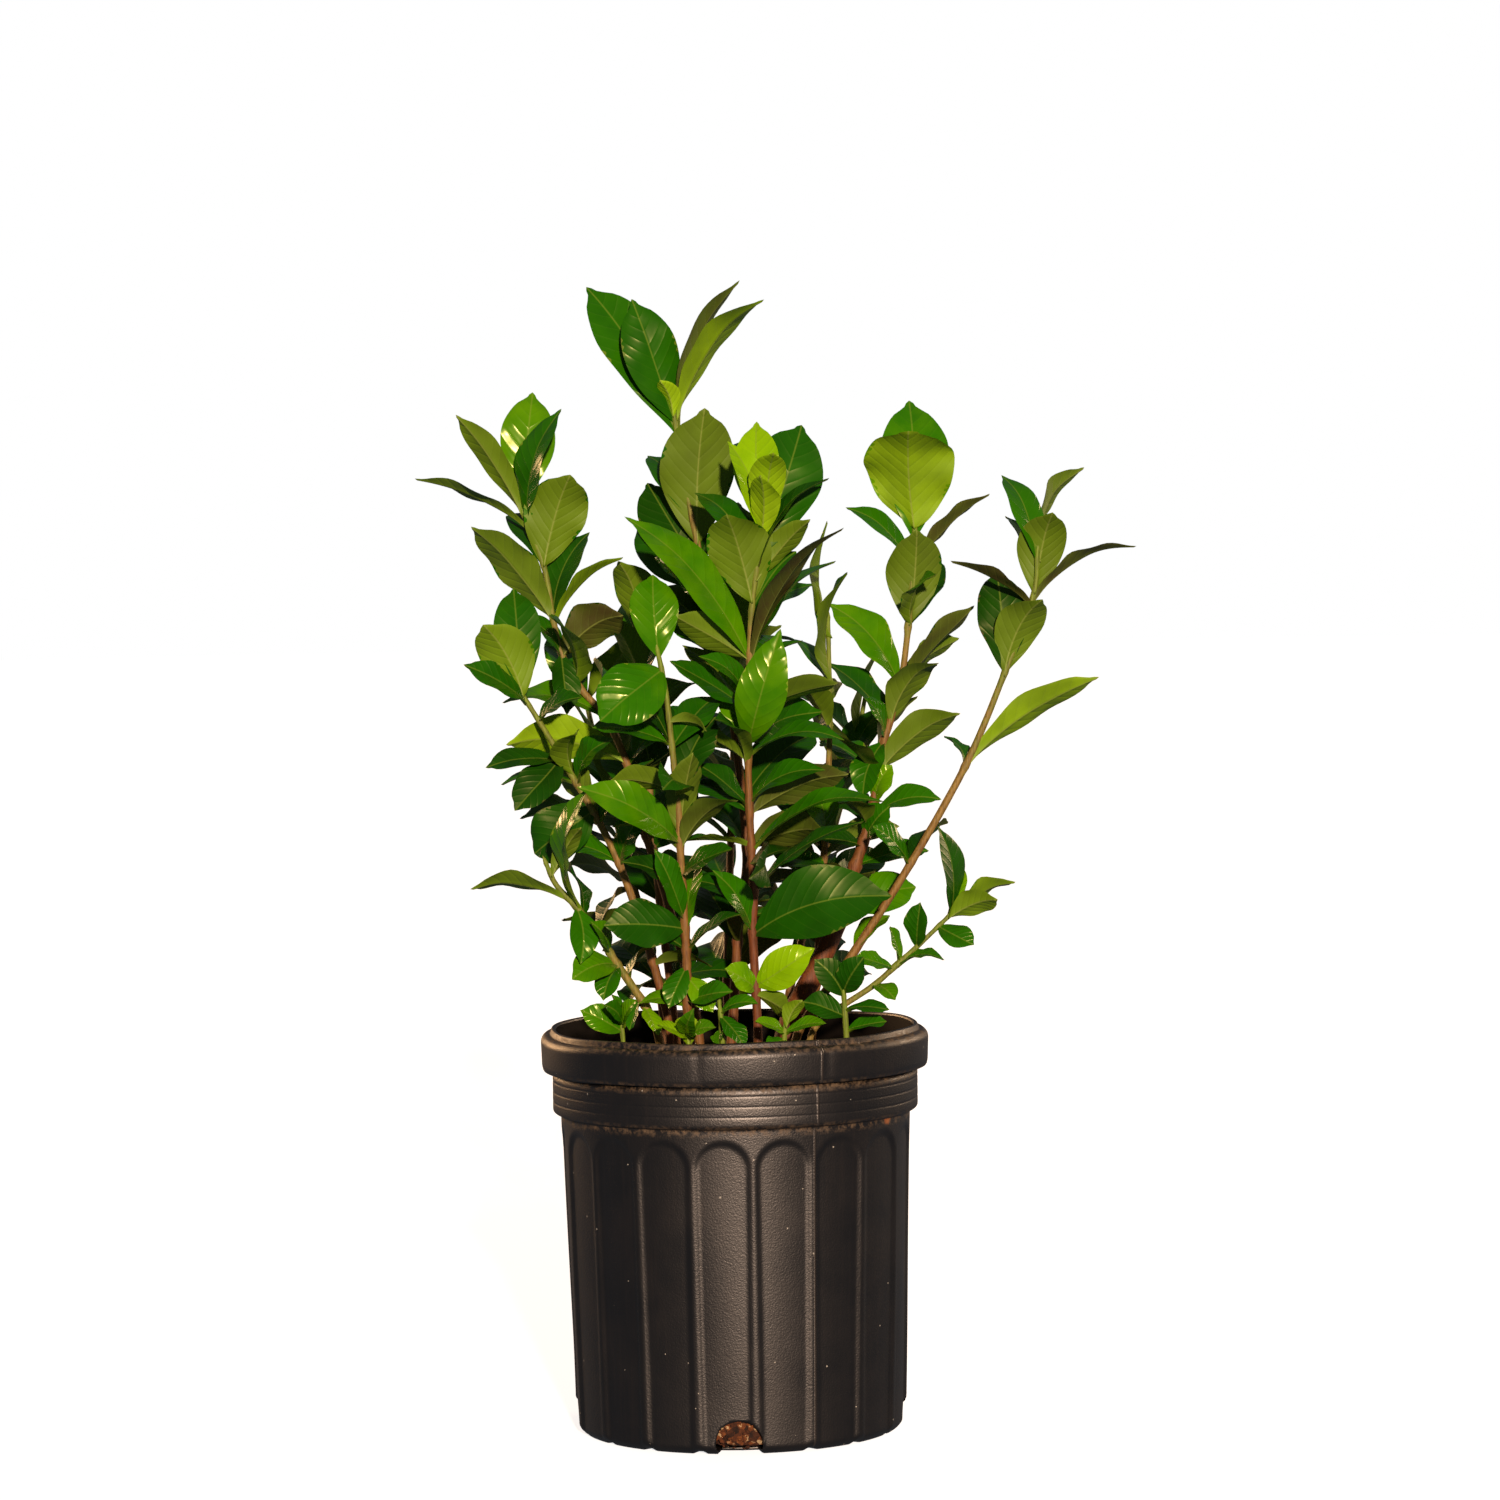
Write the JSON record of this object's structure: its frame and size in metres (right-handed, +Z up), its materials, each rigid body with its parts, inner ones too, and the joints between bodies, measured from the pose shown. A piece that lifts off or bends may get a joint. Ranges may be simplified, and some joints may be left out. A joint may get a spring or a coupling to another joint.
{
  "type": "potted gardenia",
  "caption": "Young leafy gardenia shrub, not in bloom, growing in a tall black fluted nursery pot filled with bark mix.",
  "frame": {"origin": "middle of the pot's flat underside, on the surface that it stands on", "axes": "+Z up; -Y towards the front, the side that a drain notch and the lowest large leaf face; +X to the right of it"},
  "size_m": [0.4224, 0.2643, 0.683],
  "materials": {
    "pot": "satin black polyethylene",
    "mix": "rough crumbs",
    "foliage": "waxy leaf",
    "bark": "thin bark"
  },
  "bodies": {
    "root": {"pot": "pot", "soil": "mix", "cane_low_left": "foliage", "cane_front_left": "foliage", "cane_tall": "foliage", "cane_centre": "foliage", "cane_far_right": "foliage", "trunk_right": "foliage", "cane_high_left": "foliage", "cane_mid_left": "foliage", "cane_low_right": "foliage", "cane_inner_left": "foliage", "cane_inner_right": "foliage", "cane_back": "foliage", "cane_back_left": "foliage", "cane_back_right": "foliage", "sprig_left": "foliage", "sprig_front_left": "foliage", "sprig_front": "foliage", "sprig_front_right": "foliage", "sprig_right": "foliage", "sprig_back": "foliage"}
  },
  "joints": []
}
